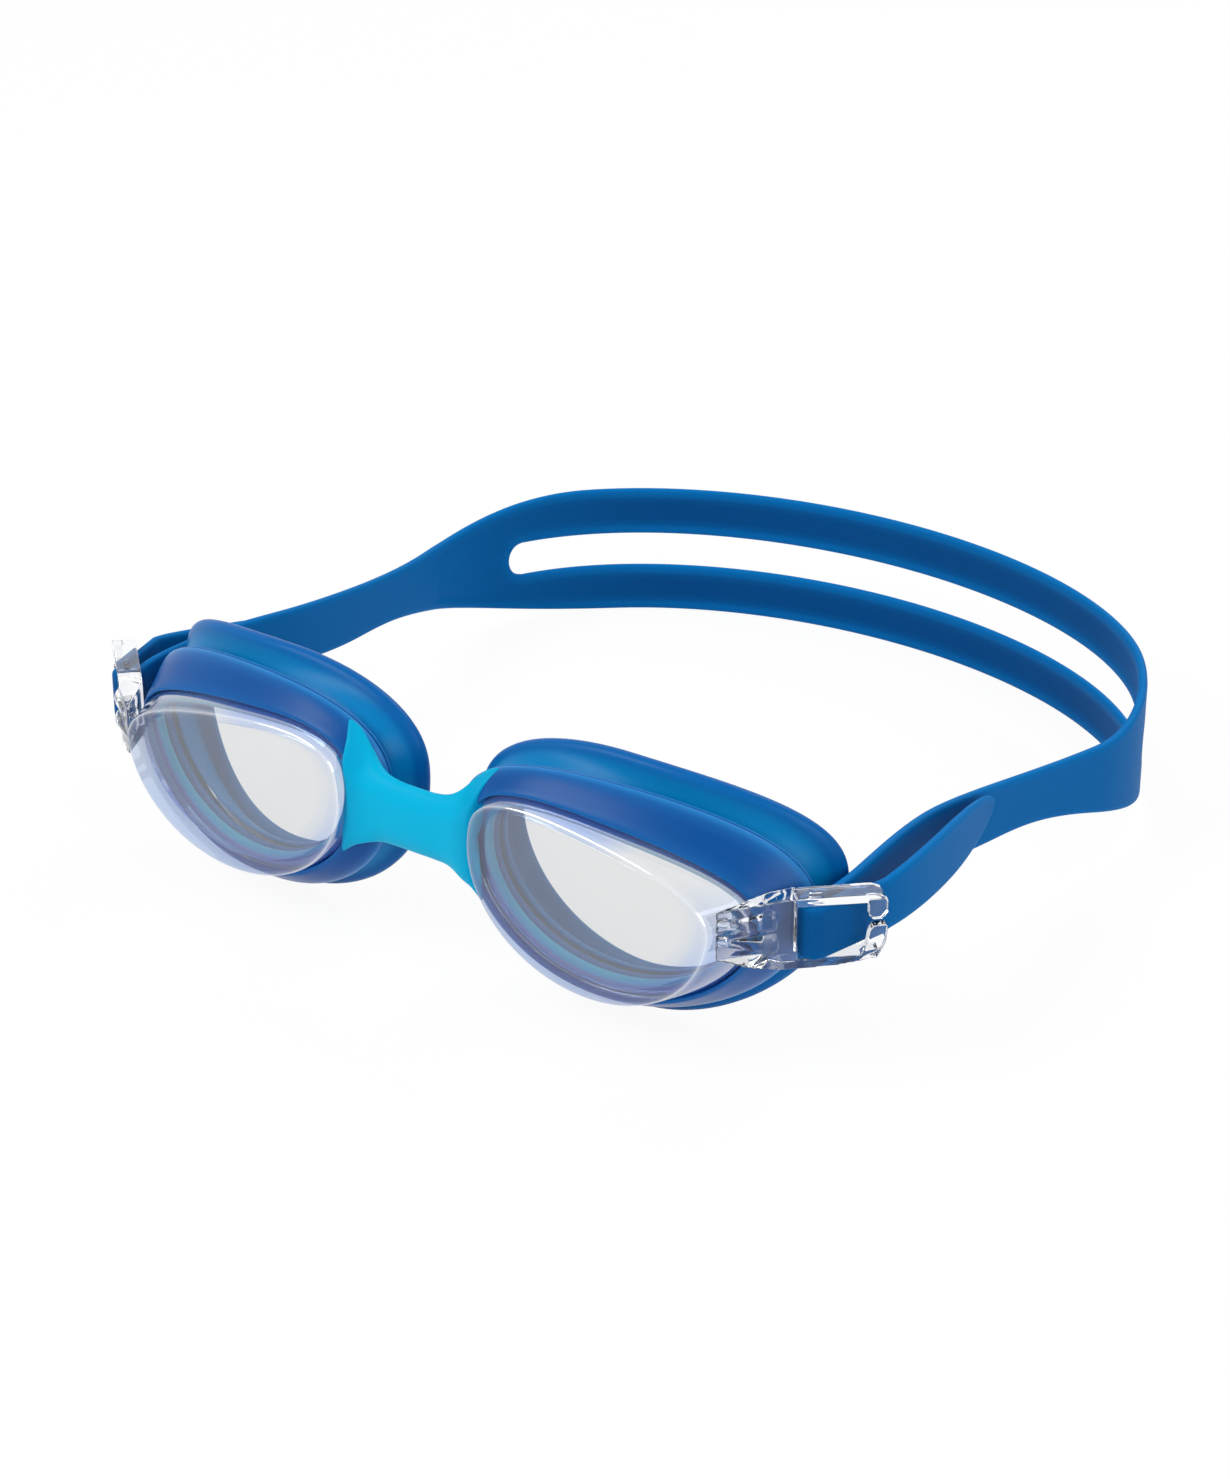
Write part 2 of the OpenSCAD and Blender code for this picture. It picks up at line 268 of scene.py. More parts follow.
def clear_sheet(name, tint, wall_tint, shine, edge_shine):
    """A thin sheet of polished clear plastic with a pale gleam on it.

    The gleam grows at the sheet's edges and where the mark is 1. The sheet takes the wall's tint
    where the attribute "wall" is 1.
    """
    material = bpy.data.materials.new(name)
    tree = new_tree(material)
    place = tree.node("TexCoord", output="Object")
    haze = tree.node("TexNoise", inputs={"Vector": place, "Scale": 60.0, "Detail": 3.0})
    facing = tree.node("LayerWeight", inputs={"Blend": 0.5}, output="Facing")
    mark = tree.node("Attribute", {"attribute_name": "mark"}, output="Fac")
    wall = tree.node("Attribute", {"attribute_name": "wall"}, output="Fac")
    gleam = shine * (0.9 + 0.2 * haze) + edge_shine * tree.math("POWER", facing, 2.5) + 0.45 * mark
    clear = tree.node("BsdfTransparent", inputs={"Color": rgba(tint)})
    cloudy = tree.node("BsdfTransparent", inputs={"Color": rgba(wall_tint)})
    through = tree.node("MixShader", inputs={0: wall, 1: clear, 2: cloudy})
    gloss = tree.node("BsdfGlossy", inputs={"Color": (0.90, 0.94, 1, 1), "Roughness": 0.03})
    both = tree.node("MixShader", inputs={0: gleam, 1: through, 2: gloss})
    tree.node("OutputMaterial", inputs={"Surface": both})
    return material


def clear_plastic(name, tint, ripple):
    """Polished clear polycarbonate with the faint flow marks of moulding."""
    material = bpy.data.materials.new(name)
    tree = new_tree(material)
    place = tree.node("TexCoord", output="Object")
    flow = tree.node("TexNoise", inputs={"Vector": place, "Scale": 90.0, "Detail": 2.0})
    bump = tree.node("Bump", inputs={"Strength": ripple, "Distance": 0.0004, "Height": flow})
    haze = tree.node("TexNoise", inputs={"Vector": place, "Scale": 400.0, "Detail": 3.0})
    surface = tree.node("BsdfPrincipled", inputs={
        "Base Color": rgba(tint), "Roughness": haze * 0.02, "IOR": 1.5,
        "Transmission Weight": 1.0, "Normal": bump})
    tree.node("OutputMaterial", inputs={"Surface": surface})
    return material


lens_plastic = clear_sheet("clear_lens", (0.875, 0.875, 0.87), (0.56, 0.67, 0.91), 0.095, 0.5)
WINDOW = 1.7
NOSE_SIDE = 118
for side_name, side in SIDES.items():
    middle = np.tile((LENS_FACE.centre[0], 0.0, LENS_FACE.centre[1]), (len(AROUND), 1))
    front = LENS_FACE.ring()
    rings = [middle + 0.3 * (front - middle), middle + 0.85 * (front - middle),
             LENS_FACE.ring(-0.7), LENS_FACE.ring(-0.35), LENS_FACE.ring(-0.1, 0.08),
             LENS_FACE.ring(0.02, 0.35), LENS_FACE.ring(0.15, 0.8), LENS_BACK.ring(-0.1, -0.8),
             LENS_BACK.ring(0, -0.2), LENS_BACK.ring(-0.1), LENS_BACK.ring(-1.4), LENS_BACK.ring(-1.6, -0.3),
             LENS_FACE.ring(-1.9, WINDOW + 0.8), LENS_FACE.ring(-2.1, WINDOW + 0.2),
             LENS_FACE.ring(-2.5, WINDOW),
             middle + 0.8 * (front - middle) + (0, WINDOW, 0),
             middle + 0.3 * (front - middle) + (0, WINDOW, 0)]
    marks = [0.0] * 3 + [0.3, 1.0, 0.4, 0.0, 0.5, 0.6] + [0.0] * (len(rings) - 9)
    walls = [0.0] * 5 + [1.0] * 10 + [0.0] * 2
    mesh = skin("lens", rings, marks, closed=False)
    lower = np.clip(0.35 - 1.2 * np.sin(AROUND), 0, 1)
    nose_side = np.clip(1.3 * np.cos(AROUND - math.radians(NOSE_SIDE)) - 0.4, 0, 1)
    cloud = np.outer(walls, np.maximum(lower, nose_side))
    mesh.attributes.new("wall", "FLOAT", "POINT").data.foreach_set("value", cloud.ravel())
    lens = piece("lens_" + side_name, mesh, lens_plastic, side, 1)
    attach(lens, "eyecup_" + side_name)
    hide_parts("lens_" + side_name)

# ---- Frame rings ----
# A ring of soft silicone lies behind each lens wall, in one piece with the nose bridge. Its front is
# clouded by the lens wall, and its inner edge shows as a cyan stripe through the lens.
def silicone(name, deep, pale, edge, roughness, glow=0.1, grain=0.05, shine=0.12):
    """Coloured silicone: cloudy from deep to pale, and turning to the edge colour where the mark is 1,
    with a fine skin. On the rims, seals, strap and nose bridge the marks carry painted highlights,
    painted light and painted shade.
    """
    material = bpy.data.materials.new(name)
    tree = new_tree(material)
    place = tree.node("TexCoord", output="Object")
    cloud = tree.node("TexNoise", inputs={"Vector": place, "Scale": 25.0, "Detail": 3.0, "Roughness": 0.55})
    speck = tree.node("TexNoise", inputs={"Vector": place, "Scale": 2600.0, "Detail": 2.0})
    mark = tree.node("Attribute", {"attribute_name": "mark"}, output="Fac")
    body = cloud.mix(deep, pale)
    colour = mark.mix(body, edge)
    bump = tree.node("Bump", inputs={"Strength": grain, "Distance": 0.00008, "Height": speck})
    surface = tree.node("BsdfPrincipled", inputs={
        "Base Color": colour, "Roughness": roughness + 0.08 * cloud, "IOR": 1.43,
        "Specular IOR Level": shine, "Subsurface Weight": glow, "Subsurface Radius": (0.4, 0.8, 1.0),
        "Subsurface Scale": 0.0016, "Normal": bump})
    tree.node("OutputMaterial", inputs={"Surface": surface})
    return material


ring_cyan = silicone("ring_silicone", (0.0, 0.34, 0.56), (0.0, 0.40, 0.62), (0.12, 0.17, 0.46), 0.4)
for side_name, side in SIDES.items():
    rings = [LENS_BACK.ring(-0.1, 0.2), LENS_BACK.ring(0, 0.5), LENS_BACK.ring(0, 1.5),
             LENS_BACK.ring(-0.2, 1.8), LENS_BACK.ring(-2.4, 1.8), LENS_BACK.ring(-2.6, 1.5),
             LENS_BACK.ring(-2.6, 0.5), LENS_BACK.ring(-2.4, 0.2), LENS_BACK.ring(-1.9, 0.15),
             LENS_BACK.ring(-1.6, 0.2)]
    marks = [1.0] * 4 + [0.0] * 4 + [0.1, 1.0]
    ring = piece("frame_ring_" + side_name, skin("frame_ring", rings, marks), ring_cyan, side, 1)
    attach(ring, "eyecup_" + side_name)
    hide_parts("frame_ring_" + side_name)

# ---- Rims ----
# A rim of soft, deep blue silicone is moulded round each lens from outside. Its slope rises from
# the lens wall to a rounded ridge with two fine grooves behind it.
RIDGE = Outline((36.9, 27.2), 29.8, 24.1, 15.1, 5.2, 2.8, 6.4, 0.0034, 10)
navy = silicone("navy_silicone", (0.0, 0.056, 0.235), (0.0, 0.078, 0.30), (0.03, 0.26, 0.60), 0.26, 0.15,
                shine=0.16)


def between(first, second, share):
    """The place at a share of the way from the first to the second."""
    return first + share * (second - first)


for side_name, side in SIDES.items():
    low, high = LENS_BACK.ring(0.5, -0.8), RIDGE.ring()
    rings = [LENS_BACK.ring(0.1, -0.6), LENS_BACK.ring(0.3, -0.9), LENS_BACK.ring(0.8, -1.0),
             between(low, high, 0.35) + (0, -0.5, 0), between(low, high, 0.7) + (0, -0.6, 0),
             between(low, high, 0.9) + (0, -0.35, 0), RIDGE.ring(),
             RIDGE.ring(0.05, 0.35), RIDGE.ring(-0.7, 0.5), RIDGE.ring(-0.7, 0.7), RIDGE.ring(-0.05, 0.85),
             RIDGE.ring(-0.1, 1.1), RIDGE.ring(-0.8, 1.25), RIDGE.ring(-0.8, 1.5),
             RIDGE.ring(-1.5, 1.9), RIDGE.ring(-3.2, 1.9), LENS_BACK.ring(-2.4, 3.2),
             LENS_BACK.ring(-2.6, 2.9), LENS_BACK.ring(-2.5, 2.1), LENS_BACK.ring(0.0, 2.0),
             LENS_BACK.ring(0.1, 1.6)]
    # The marks make the rim a little paler on its edge against the lens. They paint highlights along the
    # ridge's crest and along the crest between its two grooves. On the faces behind and inside it they paint
    # light, where little light reaches.
    marks = [0.1, 0.3, 0.1] + [0.0] * 2 + [0.15, 0.6, 0.4, 0.0, 0.0, 0.5, 0.3, 0.0, 0.0] + [0.3] * 7
    rim = piece("rim_" + side_name, skin("rim", rings, marks), navy, side, 1)
    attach(rim, "eyecup_" + side_name)
    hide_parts("rim_" + side_name)

# ---- Face seals ----
# Each seal is a soft cup of blue silicone. It flares out behind the rim to a rounded lip and turns
# in to the cushion that lies on the face.
LIP = Outline((36.5, 27.8), 31, 27.8, 18.2, 1.6, 2.5, 13.8, 0.0102, 34)
seal_blue = silicone("seal_silicone", (0.0, 0.088, 0.31), (0.0, 0.108, 0.35), (0.0, 0.19, 0.45), 0.3,
                     0.25, 0.04)

for side_name, side in SIDES.items():
    throat, lip = RIDGE.ring(-2.4, 2.4), LIP.ring(-1.3, -0.9)
    inner_throat, inner_lip = RIDGE.ring(-3.9, 4.2), LIP.ring(-3.4, 0.3)
    rings = [LENS_BACK.ring(-2.4, 4.1), RIDGE.ring(-3.6, 2.7), throat,
             between(throat, lip, 0.35) + (0, 0.5, 0), between(throat, lip, 0.75) + (0, 0.4, 0), lip,
             LIP.ring(-0.3, -0.4), LIP.ring(0, 0.4), LIP.ring(-0.2, 1.3), LIP.ring(-1.3, 2.0),
             LIP.ring(-4, 2.5), LIP.ring(-6.6, 2.5), LIP.ring(-7.1, 2.1), LIP.ring(-6.8, 1.2), inner_lip,
             between(inner_lip, inner_throat, 0.5) + (0, 0.3, 0), inner_throat, LENS_BACK.ring(-2.6, 5.4),
             LENS_BACK.ring(-2.7, 4.6)]
    # The marks make the seal paler on its flare behind the rim and over the whole inside of the cup. Inside
    # the cup the paler colour is painted light, where little light reaches.
    marks = [0.4, 0.3, 0.6, 1.0, 0.8, 0.2, 0.1, 0.0, 0.0, 0.1, 0.3, 0.5, 0.8] + [1.0] * 5 + [0.8]
    seal = piece("seal_" + side_name, skin("seal", rings, marks), seal_blue, side, 1)
    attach(seal, "eyecup_" + side_name)
    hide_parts("seal_" + side_name)

# ---- Strap clips ----
# A clear moulded clip stands out from the temple side of each lens: a plate with a window, a post
# across the window and two hooks that hold the strap's loose end down.
CLIP_TURN = math.radians(43.3)
TEMPLE_X = LENS_BACK.centre[0] + LENS_BACK.half_w
CLIP_ROOT = np.array((TEMPLE_X + 0.4, LENS_BACK.depth + LENS_BACK.curl * (TEMPLE_X - 10) ** 2 - 0.5))
ALONG = np.array((math.cos(CLIP_TURN), math.sin(CLIP_TURN)))
INWARD = np.array((-math.sin(CLIP_TURN), math.cos(CLIP_TURN)))
CLIP_Z = 25.6
CLIP_T = 4.0
WINDOW_X, CLIP_END = 4.6, 19.0
PLATE_HALF, OPEN_HALF = 6.0, 4.6
HOOK_T = 1.6
POST, POST_R = np.array((7.5, -2.2)), 0.9


def on_clip(x, y):
    """Plan point of a place on the clip: x runs back along it, and y is 0 on its inner face."""
    return CLIP_ROOT + x * ALONG + y * INWARD


def add_prism(work, outer, inner):
    """Adds a solid between two matching outlines, each a list of (x, y, z)."""
    size = len(outer)
    points = [work.verts.new(p) for p in [*outer, *inner]]
    work.faces.new(points[:size])
    work.faces.new(points[size:][::-1])
    for i in range(size):
        e = (i + 1) % size
        work.faces.new((points[e], points[i], points[size + i], points[size + e]))


def add_finger(work, start, end, start_r, end_r, flat=1.0):
    """Adds a round-ended finger that swells from one radius to another."""
    start, end, upright = Vector(start), Vector(end), Vector((0, 0, 1))
    across = (end - start).normalized().cross(upright).normalized()
    rows = []
    steps = 14
    for j in range(steps + 1):
        share = j / steps
        radius = start_r + (end_r - start_r) * share
        if share > 0.8:
            radius *= math.sqrt(max(0.0, 1 - ((share - 0.8) / 0.2) ** 2)) + 0.02
        centre = start.lerp(end, share)
        rows.append([work.verts.new(centre + radius * (math.cos(a) * across * flat + math.sin(a) * upright))
                     for a in np.radians(range(0, 360, 20))])
    for a, b in zip(rows, rows[1:]):
        for i in range(len(a)):
            e = (i + 1) % len(a)
            work.faces.new((a[i], a[e], b[e], b[i]))
    work.faces.new(rows[0][::-1])
    work.faces.new(rows[-1])


def cast(name, work, grain, passes):
    """Melts overlapping solids into one skin with a voxel grid and polishes it."""
    bmesh.ops.recalc_face_normals(work, faces=work.faces)
    rough = bpy.data.meshes.new(name)
    work.to_mesh(rough)
    work.free()
    blank = bpy.data.objects.new(name, rough)
    bpy.context.scene.collection.objects.link(blank)
    melt = blank.modifiers.new("melt", "REMESH")
    melt.mode = "VOXEL"
    melt.voxel_size = grain
    polish = blank.modifiers.new("polish", "SMOOTH")
    polish.factor = 0.5
    polish.iterations = passes
    bpy.context.view_layer.update()
    ready = blank.evaluated_get(bpy.context.evaluated_depsgraph_get())
    mesh = bpy.data.meshes.new_from_object(ready)
    bpy.data.objects.remove(blank)
    return mesh


def clip_mesh():
    """The clip, drawn flat with x running back along it, and then turned to its place at the temple."""
    top, low = CLIP_Z + PLATE_HALF, CLIP_Z - PLATE_HALF
    slot_top, slot_low = CLIP_Z + OPEN_HALF, CLIP_Z - OPEN_HALF
    work = bmesh.new()
    outer = [(-8.0, -3.3, 21.6), (-2.5, -CLIP_T, 20.2), (2.5, -CLIP_T, low), (WINDOW_X, -CLIP_T, low),
             (WINDOW_X, -CLIP_T, top), (-1, -CLIP_T, 31.0), (-8.0, -3.3, 29.8)]
    inner = [(0.2, 0, 21.6), (0.8, 0, 20.2), (2.5, 0, low), (WINDOW_X, 0, low), (WINDOW_X, 0, top),
             (0.8, 0, 31.0), (0.2, 0, 29.8)]
    add_prism(work, outer, inner)
    bar_top = [(WINDOW_X - 0.3, top), (16.4, top), (17.7, top - 0.5), (18.4, top - 1.7), (18.4, slot_top),
               (WINDOW_X - 0.3, slot_top)]
    bar_low = [(WINDOW_X - 0.3, slot_low + 0.3), (15.5, slot_low + 0.3), (17.6, slot_low + 0.6),
               (16.8, low + 1.3), (14.5, low + 0.7), (10.5, low + 0.15), (WINDOW_X - 0.3, low)]
    for bar in (bar_top, bar_low):
        add_prism(work, [(x, -CLIP_T, z) for x, z in bar], [(x, 0, z) for x, z in bar])
    hook_in = -CLIP_T + HOOK_T
    hook_up = [(15.5, slot_top + 0.2), (18.4, slot_top + 0.2), (18.4, 28.4), (17.5, 27.3), (16.2, 27.2),
               (15.5, 28.0)]
    hook_down = [(14.0, slot_low - 0.2), (16.9, slot_low - 0.4), (18.3, 23.2), (18.5, 25.8), (18.1, 26.4),
                 (16.2, 26.2), (15.6, 25.2), (15.2, 22.6)]
    for hook in (hook_up, hook_down):
        add_prism(work, [(x, -CLIP_T, z) for x, z in hook], [(x, hook_in, z) for x, z in hook])
    add_finger(work, (POST[0], POST[1], low + 0.4), (POST[0], POST[1] - 0.01, top + 1.2), POST_R, POST_R)
    add_finger(work, (-7.4, -2.9, 27.6), (2.0, -3.4, 28.2), 0.7, 2.3, 0.8)
    add_finger(work, (-7.4, -2.9, 24.6), (2.2, -3.5, 24.2), 0.7, 2.3, 0.8)
    mesh = cast("clip", work, grain=0.16, passes=4)
    for v in mesh.vertices:
        x, y = on_clip(v.co.x, v.co.y)
        v.co = (x, y, v.co.z)
    return mesh


clip_plastic = clear_plastic("clear_clip", (0.95, 0.96, 0.97), 0.1)
for side_name, side in SIDES.items():
    clip = piece("clip_" + side_name, clip_mesh(), clip_plastic, side, 0)
    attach(clip, "eyecup_" + side_name)
    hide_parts("clip_" + side_name)

# ---- Strap ----
# One flat moulding of blue silicone runs from clip to clip. It turns round each clip's post and
# leaves a loose end, widens and thins along the head, and splits into two bands behind it. Its
# inner face is sunk between raised borders at the back.
STRAP_T = 1.6
STRAP_W = 9.0
LOOP_HALF_W = 72.0
OVAL_Y, OVAL_B = 104.0, 50.0
BACK_H, SLOT_H = 25.4, 6.7
OVAL_START, SLOT_START = -8.0, 17.0
TURN_R = 1.75
HEAD_TURN, TAIL_TURN = 27.0, 33.0
EAR_HIGH, EAR_LOW = 21.8, 14.5
BORDER_IN, BORDER_OUT = 1.6, 2.1
SHADE_LENGTH = 60.0
SHARES = np.linspace(0, 1, 60)
blue = silicone("strap_silicone", (0.0, 0.052, 0.185), (0.0, 0.062, 0.215), (0.0, 0.17, 0.48), 0.5, 0.1,
                shine=0.06)
EDGE_INSETS = np.array((0.0, 0.05, 0.2, 0.45, 0.8, 1.5, 1.9))
FULL_WIDTH = 5.2


class Plan:
    """A line on the ground plan, read by its length."""

    def __init__(self, points):
        self.points = np.array(points, float)
        steps = np.linalg.norm(np.diff(self.points, axis=0), axis=1)
        self.along = np.concatenate(([0], np.cumsum(steps)))
        self.length = self.along[-1]
        self.way = np.gradient(self.points, self.along, axis=0)

    def read(self, values, s):
        """Values at the plan's points, read at the lengths s."""
        return np.stack([np.interp(s, self.along, values[:, i]) for i in (0, 1)], axis=-1)

    def at(self, s):
        """The places at the lengths s, and the directions there that point out of the loop."""
        way = self.read(self.way, s)
        way /= np.linalg.norm(way, axis=-1, keepdims=True)
        return self.read(self.points, s), np.stack((way[..., 1], -way[..., 0]), axis=-1)


def bezier(points, t):
    """The place at the share t along a curve with four control points."""
    a, b, c, d = (np.array(p, float) for p in points)
    return (1 - t) ** 3 * a + 3 * t * (1 - t) ** 2 * b + 3 * t * t * (1 - t) * c + t ** 3 * d


def ease(low, high, value):
    """Rises softly from 0 at low to 1 at high."""
    t = np.clip((value - low) / (high - low), 0, 1)
    return t * t * (3 - 2 * t)


def edge_high(y):
    """Height of the strap's upper edge: down to the ear, then up to the top of the bands."""
    top = CLIP_Z + STRAP_W / 2
    return top - (top - EAR_HIGH) * ease(26, 104, y) + (BACK_H - EAR_HIGH) * ease(100, 132, y)


def edge_low(y):
    """Height of the strap's lower edge: down to the ear, and on down to the table."""
    low = CLIP_Z - STRAP_W / 2
    return low - (low - EAR_LOW) * ease(18, 78, y) - EAR_LOW * ease(72, 136, y)


def oval(degrees):
    """Plan point of the strap's open loop behind the head, at an angle from the wearer's left."""
    t = np.radians(degrees)
    return np.stack((LOOP_HALF_W * np.cos(t), OVAL_Y + OVAL_B * np.sin(t)), axis=-1)


def heights(low, high):
    """Heights across a band from its low to its high edge, close together at the edges.

    Below the full width the insets shrink with the band.
    """
    inset = EDGE_INSETS * min(1.0, (high - low) / FULL_WIDTH)
    middle = np.linspace(low + inset[-1], high - inset[-1], 5)[1:-1]
    return np.concatenate((low + inset, middle, (high - inset)[::-1]))


def moulded(name, plan, s, h, d, thick=STRAP_T, plain=0.4, sunk=0.0):
    """A flat moulding along a plan, with round edges and an inner face sunk inside its border.

    s, h and d are grids of the length along the plan, the height, and the distance to the nearest
    edge. The mark is plain on plain faces and rises along the edges as a painted highlight; on the
    sunk face it falls to 0 away from its ends, as painted shade.
    """
    half = thick / 2 * np.ones_like(d)
    inside = ease(BORDER_IN, BORDER_OUT, d)
    swell = half * np.sqrt(1 - (1 - np.minimum(d / half, 1)) ** 2)
    hollow = sunk * inside
    place, out = plan.at(s)
    outer = np.dstack((place + out * swell[..., None], h))
    inner = np.dstack((place - out * (swell - hollow)[..., None], h))
    rows, columns = d.shape
    work = bmesh.new()
    layer = work.verts.layers.float.new("mark")
    # Painted highlight: the mark rises along the rounded edges. Painted shade: on the sunk inner face the
    # mark falls away from the ends.
    marks = plain + 0.35 * np.exp(-d / 0.5)
    painted_shade = plain * ease(0, SHADE_LENGTH, np.minimum(s, plan.length - s)) * inside * (sunk > 0)
    for face, mark, flip in ((outer, marks, 1), (inner, marks - painted_shade, -1)):
        grid = [[work.verts.new(face[i, j]) for j in range(columns)] for i in range(rows)]
        for i in range(rows):
            for j in range(columns):
                grid[i][j][layer] = mark[i, j]
        for i in range(rows - 1):
            for j in range(columns - 1):
                work.faces.new([grid[i][j], grid[i + 1][j], grid[i + 1][j + 1], grid[i][j + 1]][::flip])
    bmesh.ops.remove_doubles(work, verts=work.verts, dist=0.004)
    bmesh.ops.delete(work, geom=[v for v in work.verts if not v.link_faces], context="VERTS")
    mesh = bpy.data.meshes.new(name)
    work.to_mesh(mesh)
    work.free()
    return mesh


def band_grid(s_rows, low, high):
    """Grids of length, height and edge distance for a band whose edges depend on the length."""
    h = np.array([heights(low(s), high(s)) for s in s_rows])
    s = np.repeat(np.array(s_rows)[:, None], h.shape[1], axis=1)
    return s, h, np.minimum(h - h[:, :1], h[:, -1:] - h)


def by_place(plan, edge):
    """Turns an edge height that depends on the distance back into one that depends on the length."""
    return lambda s: float(edge(plan.at(np.array(s))[0][..., 1]))


def heading(degrees):
    """Unit vector at an angle."""
    return np.array((math.cos(math.radians(degrees)), math.sin(math.radians(degrees))))


def on_turn(degrees):
    """Place on the strap's turn round the post, on the clip."""
    return POST + TURN_R * heading(degrees)


def clip_way(degrees):
    """Plan direction of a heading on the clip."""
    return math.cos(math.radians(degrees)) * ALONG + math.sin(math.radians(degrees)) * INWARD


def leg(start, degrees, length):
    """Place at a length from the start, at an angle."""
    return start + length * heading(degrees)


def curve_plan(points):
    """A plan along a curve with four control points."""
    return Plan([bezier(points, t) for t in SHARES])


TAIL_LEG = (CLIP_END + 0.6 - on_turn(270 + TAIL_TURN)[0]) / math.cos(math.radians(TAIL_TURN))
side_start = on_clip(*leg(on_turn(90 + HEAD_TURN), HEAD_TURN, 1.7))
tail_start = on_clip(*leg(on_turn(270 + TAIL_TURN), TAIL_TURN, TAIL_LEG + 0.1))
EAR = np.array((LOOP_HALF_W - 5.4, 50.0))
behind_ear = oval(OVAL_START)
ear_way = oval(OVAL_START + 0.5) - oval(OVAL_START)
ear_way /= np.linalg.norm(ear_way)
FRONT_CURVE = (side_start, side_start + 7 * clip_way(HEAD_TURN), EAR + (1.1, -14), EAR)
REAR_CURVE = (EAR, EAR + (-0.9, 11.5), behind_ear - 13 * ear_way, behind_ear)
TAIL_TIP = tail_start + (-5.1, 41.1)
LEAD = 9.0

for side_name, side in SIDES.items():
    # The turn round the clip's post, with a short leg of strap at each end.
    turn = [on_turn(a) for a in np.linspace(90 + HEAD_TURN, 270 + TAIL_TURN, 28)]
    head_leg = [leg(turn[0], HEAD_TURN, f) for f in (1.7, 0.8)]
    tail_leg = [leg(turn[-1], TAIL_TURN, f * (TAIL_LEG + 0.1)) for f in (0.2, 0.4, 0.6, 0.8, 1.0)]
    plan = Plan([on_clip(*p) for p in (*head_leg, *turn, *tail_leg)][::-1])
    s, h, d = band_grid(plan.along, lambda s: CLIP_Z - STRAP_W / 2, lambda s: CLIP_Z + STRAP_W / 2)
    # The loop is painted darker than the loose end, as painted shade inside the clip. Over its last 4 mm it
    # blends to the loose end's colour.
    shade = 0.4 - 0.28 * ease(0, 4, s)
    loop = piece("strap_loop_" + side_name, moulded("strap_loop", plan, s, h, d, plain=shade), blue, side, 1)
    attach(loop, "eyecup_" + side_name)
    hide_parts("strap_loop_" + side_name)

    # The loose end: it bows out and droops to a rounded tip. The left one lies outside the strap's
    # side, and the right one lies lower and closer in.
    bow, lift = (4.4, 3.4) if side > 0 else (0.6, -2.4)
    curve = (tail_start, tail_start + (bow + 2.6) * clip_way(TAIL_TURN), TAIL_TIP + (bow, -20.3), TAIL_TIP)
    plan = curve_plan(curve)
    span = np.concatenate((np.linspace(0, 0.8, 20), 0.8 + 0.2 * np.sin(np.linspace(0.1, math.pi / 2, 14))))
    t_rows = np.interp(span * plan.length, plan.along, SHARES)
    half_w = STRAP_W / 2 * (1 + 0.1 * np.sin(math.pi * t_rows)) * np.sqrt(
        np.maximum(0, 1 - np.maximum(0, (t_rows - 0.5) / 0.5) ** 3.2))
    middle = CLIP_Z + lift * t_rows - 8 * t_rows ** 2 + 3.2 * t_rows ** 3
    h = np.array([heights(m - w, m + w) for m, w in zip(middle, half_w)])
    s = np.repeat((span * plan.length)[:, None], h.shape[1], axis=1)
    d = np.minimum(h - h[:, :1], h[:, -1:] - h)
    thin = (0.8 - 0.35 * ease(0.45, 1, span))[:, None] * 2 * np.ones_like(d)
    d = np.minimum(d, np.maximum(0.0, plan.length - s))
    tail = piece("strap_tail_" + side_name, moulded("strap_tail", plan, s, h, d, thin), blue, side, 1)
    side * tail_start[0] * MM
    (tail_start[1] + FRONT) * MM
    side * tail_start[0] * MM
    (tail_start[1] + 9 + FRONT) * MM
    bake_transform(tail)
    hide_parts("strap_tail_" + side_name)

    # The stretch from the clip to the ear, with its first millimetres as a piece of their own.
    plan = curve_plan(FRONT_CURVE)
    edges = by_place(plan, edge_low), by_place(plan, edge_high)
    lead_end = float(plan.at(np.array(LEAD))[0][1])
    s, h, d = band_grid(np.linspace(0, LEAD, 7), *edges)
    lead = piece("strap_lead_" + side_name, moulded("strap_lead", plan, s, h, d), blue, side, 1)
    (side_start[1] + 1 + FRONT) * MM
    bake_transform(lead)
    s, h, d = band_grid(np.linspace(LEAD, plan.length, 18), *edges)
    front = piece("strap_side_" + side_name, moulded("strap_side", plan, s, h, d), blue, side, 1)
    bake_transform(front)
    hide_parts("strap_side_" + side_name)

    # The stretch behind the ear, where it widens to the fork.
    plan = curve_plan(REAR_CURVE)
    edges = by_place(plan, edge_low), by_place(plan, edge_high)
    s, h, d = band_grid(np.linspace(0, plan.length, 18), *edges)
    rear = piece("strap_ear_" + side_name, moulded("strap_ear", plan, s, h, d), blue, side, 1)
    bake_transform(rear)

# The strap splits at a fork behind each ear. The fork is a sunk panel that ends in the round end of
# the slot, with a raised lip round it, and the two bands go on from it round the back of the head.
SLOT_LOW = (BACK_H - SLOT_H) / 2
SLOT_HIGH = SLOT_LOW + SLOT_H
SLOT_MIDDLE = BACK_H / 2
FORK_END = 20.0
SUNK = 0.3
WEB_START = 0.43, 0.57
degree_of = np.linspace(OVAL_START, 180 - OVAL_START, 400)
back = Plan(oval(degree_of))
slot_s = float(np.interp(SLOT_START, degree_of, back.along))
fork_s = float(np.interp(FORK_END, degree_of, back.along))
round_end = fork_s - slot_s
angles = np.linspace(-90, 90, 61)
slot_rim = np.column_stack((fork_s - round_end * np.cos(np.radians(angles)),
                            SLOT_MIDDLE + SLOT_H / 2 * np.sin(np.radians(angles))))
ends = np.linspace(0, 12, 40)[1:]
